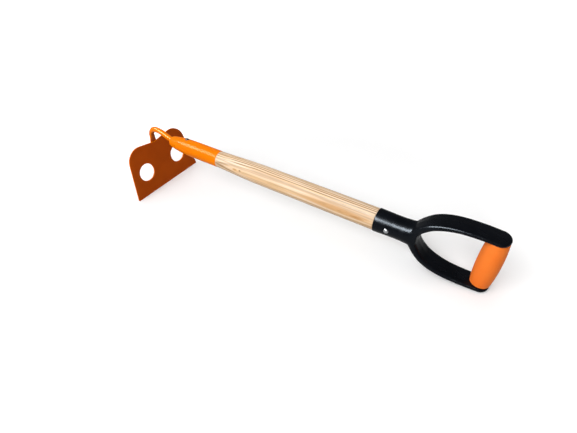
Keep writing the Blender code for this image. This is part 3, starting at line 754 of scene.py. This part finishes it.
def arc(centre_x, centre_y, radius, start, end, step=ARC_STEP):
    count = max(2, math.ceil(abs(end - start) / step))
    angles = [start + (end - start) * i / count for i in range(count + 1)]
    return [(centre_x + radius * math.cos(a), centre_y + radius * math.sin(a)) for a in angles]


def tangent_angle(point, centre, radius, side):
    away = math.atan2(point[1] - centre[1], point[0] - centre[0])
    return away + side * math.acos(radius / math.dist(point, centre))


def blade_outlines():
    """The plate's outline and the two holes, as lists of (across, up) points."""
    centre = (HOLE_SPACING / 2, LOBE_HEIGHT)
    corner = (EDGE_HALF_WIDTH, -EDGE_DROP)
    side_end = tangent_angle(corner, centre, LOBE_RADIUS, 1)
    cleft_end = tangent_angle((0.0, CLEFT_HEIGHT), centre, LOBE_RADIUS, -1)
    inset = EDGE_CORNER_RADIUS
    half = arc(corner[0] - inset, corner[1] + inset, inset, -math.pi / 2, 0.0, CORNER_ARC_STEP)
    half += arc(*centre, LOBE_RADIUS, side_end, cleft_end % (2 * math.pi))
    outlines = [half + [(0.0, CLEFT_HEIGHT)] + [(-x, y) for x, y in reversed(half)]]
    step = 2 * math.pi / HOLE_STEPS
    for side in (-1, 1):
        outlines.append(arc(side * HOLE_SPACING / 2, 0.0, HOLE_RADIUS, 0.0, 2 * math.pi - step, step))
    return outlines


def build_blade():
    curve = bpy.data.curves.new("blade_curve", "CURVE")
    curve.dimensions = "2D"
    curve.fill_mode = "BOTH"
    curve.extrude = BLADE_THICKNESS / 2
    for points in blade_outlines():
        spline = curve.splines.new("POLY")
        spline.points.add(len(points) - 1)
        for knot, (x, y) in zip(spline.points, points):
            knot.co = (x, y, 0.0, 1.0)
        spline.use_cyclic_u = True
    maker = bpy.data.objects.new("blade_maker", curve)
    bpy.context.scene.collection.objects.link(maker)
    mesh = bpy.data.meshes.new_from_object(maker.evaluated_get(bpy.context.evaluated_depsgraph_get()))
    bpy.data.objects.remove(maker, do_unlink=True)
    merge_points(mesh, PLATE_MERGE_DISTANCE)
    mesh.name = "blade_plate"
    upright = Matrix(((0, 0, 1, 0), (1, 0, 0, 0), (0, 1, 0, 0), (0, 0, 0, 1)))
    stand = Matrix.Rotation(-BLADE_TILT, 4, "Y") @ upright
    place = Matrix.Translation((BLADE_HOLES_AT[0], 0, BLADE_HOLES_AT[1])) @ stand
    ob = add_piece("blade_plate", mesh, BLADE_SHADED_PAINT, ["blade"], place)
    # The blade's faces carry the painted shade; the cut edges and the holes' walls carry the plain orange
    # paint
    mesh.materials.append(PAINT)
    for face in mesh.polygons:
        face.material_index = int(abs(face.normal.z) < EDGE_FACE_SLOPE)
    bevel = ob.modifiers.new("soft_edges", "BEVEL")
    bevel.width = PLATE_EDGE_ROUND
    bevel.segments = PLATE_EDGE_STEPS
    bevel.limit_method = "ANGLE"
    bevel.angle_limit = PLATE_EDGE_ANGLE
    bevel.harden_normals = True


def rounded_section(half_width, half_depth, edge_round, ridge=0.0, steps=CORNER_STEPS):
    """A rectangle with round corners, as (across, depth) points; a ridge may run down two opposite faces."""
    shoulder = half_width - ridge
    radius = min(edge_round, FULLEST_ROUND * shoulder, FULLEST_ROUND * half_depth)
    ring = []
    for i, (across, depth) in enumerate(((1, 1), (-1, 1), (-1, -1), (1, -1))):
        for step in range(steps + 1):
            angle = math.pi / 2 * (i + step / steps)
            ring.append((across * (shoulder - radius) + radius * math.cos(angle),
                         depth * (half_depth - radius) + radius * math.sin(angle)))
        if ridge and i % 2 == 1:
            ring.append((half_width if i == 3 else -half_width, 0.0))
    return ring


def arm_stations():
    outer_z, inner_z, end_round = ARM_STATIONS[0][1], ARM_STATIONS[0][3], ARM_STATIONS[0][5]
    upper = []
    for i in range(END_STEPS, 0, -1):
        angle = END_ANGLE * i / END_STEPS
        x = GRIP_AT + ARM_END * math.sin(angle)
        trim = END_TRIM * (i / END_STEPS) ** END_TRIM_POWER
        upper.append((x, outer_z - trim, x, inner_z + trim, ARM_HALF_DEPTH * math.cos(angle), end_round))
    upper += smooth_path(ARM_STATIONS, ARM_STEPS)
    lower = [(ox, -oz, ix, -iz, *rest) for ox, oz, ix, iz, *rest in reversed(upper[:-1])]
    return upper + lower


def arms_mesh():
    rings = []
    for outer_x, outer_z, inner_x, inner_z, half_depth, edge_round in arm_stations():
        middle_x, middle_z = (outer_x + inner_x) / 2, (outer_z + inner_z) / 2
        half_width = math.dist((outer_x, outer_z), (inner_x, inner_z)) / 2
        across_x, across_z = (outer_x - middle_x) / half_width, (outer_z - middle_z) / half_width
        section = rounded_section(half_width, half_depth, edge_round, ARM_CROWN)
        rings.append([(middle_x + a * across_x, depth, middle_z + a * across_z) for a, depth in section])
    return loft("handle_yoke", rings)


def neck_body_mesh():
    """The yoke's neck, from the round socket to the root of the arms."""
    rings = []
    for x, half_height, half_depth, edge_round in smooth_path(NECK_STATIONS, ARM_STEPS):
        section = rounded_section(half_height, half_depth, edge_round, steps=NECK_CORNER_STEPS)
        rings.append([(x, depth, height) for height, depth in section])
    return loft("yoke_neck_body", rings)


def yoke_socket_profile():
    profile = [(YOKE_SOCKET_END, 0.0)]
    for i in range(1, DOME_STEPS + 1):
        angle = math.pi / 2 * i / DOME_STEPS
        x = YOKE_SOCKET_END - YOKE_DOME * (1 - math.cos(angle))
        profile.append((x, YOKE_SOCKET_RADIUS * math.sin(angle)))
    rim_end = YOKE_MOUTH + YOKE_RIM_LENGTH
    profile += [(rim_end + YOKE_RIM_EASE, YOKE_SOCKET_RADIUS), (rim_end, YOKE_RIM_RADIUS),
                (YOKE_MOUTH + YOKE_RIM_CHAMFER, YOKE_RIM_RADIUS),
                (YOKE_MOUTH, YOKE_RIM_RADIUS - YOKE_RIM_CHAMFER), (YOKE_MOUTH, 0.0)]
    return profile


def build_yoke():
    ob = add_piece("d_handle", arms_mesh(), PLASTIC, ["handle_yoke"])
    boolean(ob, helper("socket_body", lathe("socket_body", yoke_socket_profile())), "UNION")
    boolean(ob, helper("neck_body", neck_body_mesh()), "UNION")
    reach = GRIP_HALF_LENGTH + CROSSBAR_BURY
    bar_profile = [(-reach, 0.0), (-reach, CROSSBAR_RADIUS), (reach, CROSSBAR_RADIUS), (reach, 0.0)]
    bar = lathe("crossbar_body", bar_profile)
    bar.transform(Matrix.Translation((GRIP_AT, 0, 0)) @ Matrix.Rotation(-math.pi / 2, 4, "Y"))
    boolean(ob, helper("crossbar_body", bar), "UNION")
    remesh = ob.modifiers.new("skin", "REMESH")
    remesh.mode = "VOXEL"
    remesh.voxel_size = YOKE_VOXEL
    remesh.use_smooth_shade = True
    relax = ob.modifiers.new("soften", "SMOOTH")
    relax.factor = YOKE_SOFTENING
    relax.iterations = YOKE_SOFTENING_PASSES
    front, depth = YOKE_MOUTH - CUTTER_REACH, YOKE_MOUTH + YOKE_BORE_DEPTH
    bore = lathe("yoke_bore", [(front, 0.0), (front, TENON_RADIUS + GAP), (depth, TENON_END_RADIUS + GAP),
                               (depth, 0.0)])
    boolean(ob, helper("yoke_bore", bore))


def grip_end(side, straight):
    """The rounded edge at one end of the sleeve."""
    points = []
    for i in range(1, GRIP_ROUND_STEPS + 1):
        angle = math.pi / 2 * i / GRIP_ROUND_STEPS
        points.append((side * (straight + GRIP_EDGE_ROUND * math.sin(angle)),
                       GRIP_END_RADIUS - GRIP_EDGE_ROUND * (1 - math.cos(angle))))
    return points


def build_grip():
    bore = CROSSBAR_RADIUS + GAP
    half = GRIP_HALF_LENGTH
    straight = half - GRIP_EDGE_ROUND
    outer = []
    for i in range(GRIP_STATIONS + 1):
        t = 1 - 2 * i / GRIP_STATIONS
        swell = 1 - abs(t) ** GRIP_SWELL_POWER
        outer.append((t * straight, GRIP_END_RADIUS + (GRIP_RADIUS - GRIP_END_RADIUS) * swell))
    profile = list(reversed(grip_end(1, straight))) + outer + grip_end(-1, straight)
    profile += [(-half, bore), (half, bore)]
    place = Matrix.Translation((GRIP_AT, 0, 0)) @ Matrix.Rotation(-math.pi / 2, 4, "Y")
    add_piece("grip", lathe("grip", profile, closed=True), GRIP, ["grip_sleeve"], place)


def build_rivet(name, x, roll, surface_radius, material, node):
    under = surface_radius - RIVET_SEAT + GAP
    dome = []
    for i in range(DOME_STEPS + 1):
        angle = math.pi / 2 * i / DOME_STEPS
        dome.append((under + RIVET_DOME * math.cos(angle), RIVET_HEAD * math.sin(angle)))
    profile = dome + [(under, RIVET_SHANK), (-under, RIVET_SHANK)] + [(-h, r) for h, r in reversed(dome)]
    turn = Matrix.Rotation(roll, 4, "X") @ Matrix.Rotation(-math.pi / 2, 4, "Y")
    place = Matrix.Translation((x, 0, 0)) @ turn
    add_piece(name, lathe(name, profile, steps=RIVET_STEPS), material, [node], place)


# Stage

def build_floor():
    size = FLOOR_HALF_SIZE
    corners = [(-size, -size, 0), (size, -size, 0), (size, size, 0), (-size, size, 0)]
    mesh = bpy.data.meshes.new("studio_floor")
    mesh.from_pydata(corners, [], [(0, 1, 2, 3)])
    floor = bpy.data.objects.new("studio_floor", mesh)
    bpy.context.scene.collection.objects.link(floor)
    material = bpy.data.materials.new("studio_floor_white")
    material.use_nodes = True
    tree = material.node_tree
    tree.nodes.remove(tree.nodes["Principled BSDF"])
    output = tree.nodes["Material Output"]
    lit = add_node(tree, "ShaderNodeBsdfDiffuse", Color=FLOOR_SEEN)
    # The camera sees the open floor lifted to white, less so round the hoe, where its shadow falls
    away = add_node(tree, "ShaderNodeVectorMath", operation="LENGTH")
    tree.links.new(object_space(tree), away.inputs[0])
    lift = add_node(tree, "ShaderNodeEmission", Color=(1, 1, 1, 1))
    tree.links.new(between(tree, away.outputs["Value"], LIFT_SPAN, *LIFT), lift.inputs["Strength"])
    seen = tree.nodes.new("ShaderNodeAddShader")
    tree.links.new(lit.outputs[0], seen.inputs[0])
    tree.links.new(lift.outputs[0], seen.inputs[1])
    # Gloss sees the floor pale round the hoe and dim far from it, like a lit table in a dark studio
    table = add_node(tree, "ShaderNodeEmission", Color=(1, 1, 1, 1))
    reach = between(tree, away.outputs["Value"], TABLE_SPAN, TABLE, TABLE_FAR)
    tree.links.new(reach, table.inputs["Strength"])
    path = tree.nodes.new("ShaderNodeLightPath")
    direct = tree.nodes.new("ShaderNodeMixShader")
    tree.links.new(path.outputs["Is Glossy Ray"], direct.inputs[0])
    tree.links.new(seen.outputs[0], direct.inputs[1])
    tree.links.new(table.outputs[0], direct.inputs[2])
    bounce = add_node(tree, "ShaderNodeBsdfDiffuse", Color=FLOOR_BOUNCE)
    mix = tree.nodes.new("ShaderNodeMixShader")
    tree.links.new(seen_directly(tree), mix.inputs[0])
    tree.links.new(bounce.outputs[0], mix.inputs[1])
    tree.links.new(direct.outputs[0], mix.inputs[2])
    tree.links.new(mix.outputs[0], output.inputs["Surface"])
    mesh.materials.append(material)


def seen_directly(tree):
    """1 for camera, glossy and transmission rays, which see the studio; the others only gather its light."""
    path = tree.nodes.new("ShaderNodeLightPath")
    first = maths(tree, "MAXIMUM", path.outputs["Is Camera Ray"], path.outputs["Is Glossy Ray"])
    return maths(tree, "MAXIMUM", first, path.outputs["Is Transmission Ray"])


def build_world():
    """White where the camera looks, dim in gloss like a dark studio, and a soft light for everything else."""
    world = bpy.data.worlds.new("studio")
    bpy.context.scene.world = world
    world.use_nodes = True
    tree = world.node_tree
    tree.nodes.clear()
    output = tree.nodes.new("ShaderNodeOutputWorld")
    path = tree.nodes.new("ShaderNodeLightPath")
    coords = tree.nodes.new("ShaderNodeTexCoord")
    direction = tree.nodes.new("ShaderNodeSeparateXYZ")
    tree.links.new(coords.outputs["Generated"], direction.inputs["Vector"])
    overhead = between(tree, direction.outputs["Z"], CEILING_SPAN, TABLE_FAR, CEILING)
    gloss_level = maths(tree, "ADD", maths(tree, "MULTIPLY", overhead, path.outputs["Is Glossy Ray"]),
                        maths(tree, "SUBTRACT", 1.0, path.outputs["Is Glossy Ray"]))
    # The direction's X of -1 to 1 as a ramp's 0 to 1
    along = maths(tree, "MULTIPLY_ADD", direction.outputs["X"], 0.5, 0.5)
    behind, beside, beyond = AMBIENT
    level = ramp(tree, along, ((0.0, behind), (0.5, beside), (1.0, beyond)))
    soft = add_node(tree, "ShaderNodeBackground", Color=(1, 1, 1, 1))
    tree.links.new(level, soft.inputs["Strength"])
    white = add_node(tree, "ShaderNodeBackground", Color=(1, 1, 1, 1))
    tree.links.new(gloss_level, white.inputs["Strength"])
    mix = tree.nodes.new("ShaderNodeMixShader")
    tree.links.new(seen_directly(tree), mix.inputs[0])
    tree.links.new(soft.outputs[0], mix.inputs[1])
    tree.links.new(white.outputs[0], mix.inputs[2])
    tree.links.new(mix.outputs[0], output.inputs["Surface"])


def add_strip(name, start, end, width, radiance):
    """A strip lamp from start to end, both in the shaft frame, that faces the hoe's middle."""
    start, end, aim = (SHAFT @ Vector(p) for p in (start, end, HOE_MIDDLE))
    data = bpy.data.lights.new(name, "AREA")
    data.shape = "RECTANGLE"
    data.size, data.size_y = (end - start).length, width
    data.energy = radiance * math.pi * data.size * data.size_y
    lamp = bpy.data.objects.new(name, data)
    bpy.context.scene.collection.objects.link(lamp)
    middle = (start + end) / 2
    along = (end - start).normalized()
    away = middle - aim
    away = (away - along * away.dot(along)).normalized()
    axes = Matrix((along, away.cross(along), away)).transposed().to_4x4()
    lamp.matrix_world = Matrix.Translation(middle) @ axes
    return lamp


def build_camera():
    data = bpy.data.cameras.new("photo_camera")
    data.sensor_width = SENSOR_WIDTH
    data.lens = FOCAL_PIXELS / PHOTO_WIDTH * SENSOR_WIDTH
    data.shift_x = -HALF_PIXEL / PHOTO_WIDTH
    data.shift_y = HALF_PIXEL / PHOTO_WIDTH
    data.clip_start = CLIP_START
    data.clip_end = CLIP_END
    camera = bpy.data.objects.new("photo_camera", data)
    bpy.context.scene.collection.objects.link(camera)
    rows = (CAMERA_RIGHT, [-v for v in CAMERA_DOWN], [-v for v in CAMERA_FORWARD])
    axes = Matrix(rows).transposed().to_4x4()
    camera.matrix_world = SHAFT @ Matrix.Translation(CAMERA_AT) @ axes
    bpy.context.scene.camera = camera


build_blade()
build_neck()
build_welds()
build_socket()
build_nose()
build_shaft()
build_yoke()
build_grip()
build_rivet("rivet_head_socket", SOCKET_RIVET_AT, SOCKET_RIVET_TURN, socket_radius(SOCKET_RIVET_AT),
            DULL_STEEL, "socket_rivet")
build_rivet("rivet_head_handle", YOKE_RIVET_AT, YOKE_RIVET_TURN, YOKE_SOCKET_RADIUS, STEEL, "handle_rivet")
build_floor()
build_world()
add_strip("key", KEY_START, KEY_END, KEY_WIDTH, KEY_RADIANCE).visible_glossy = False
add_strip("gloss_strip", GLOSS_START, GLOSS_END, GLOSS_WIDTH, GLOSS_RADIANCE).visible_diffuse = False
build_camera()
bpy.context.scene.view_settings.view_transform = "Standard"
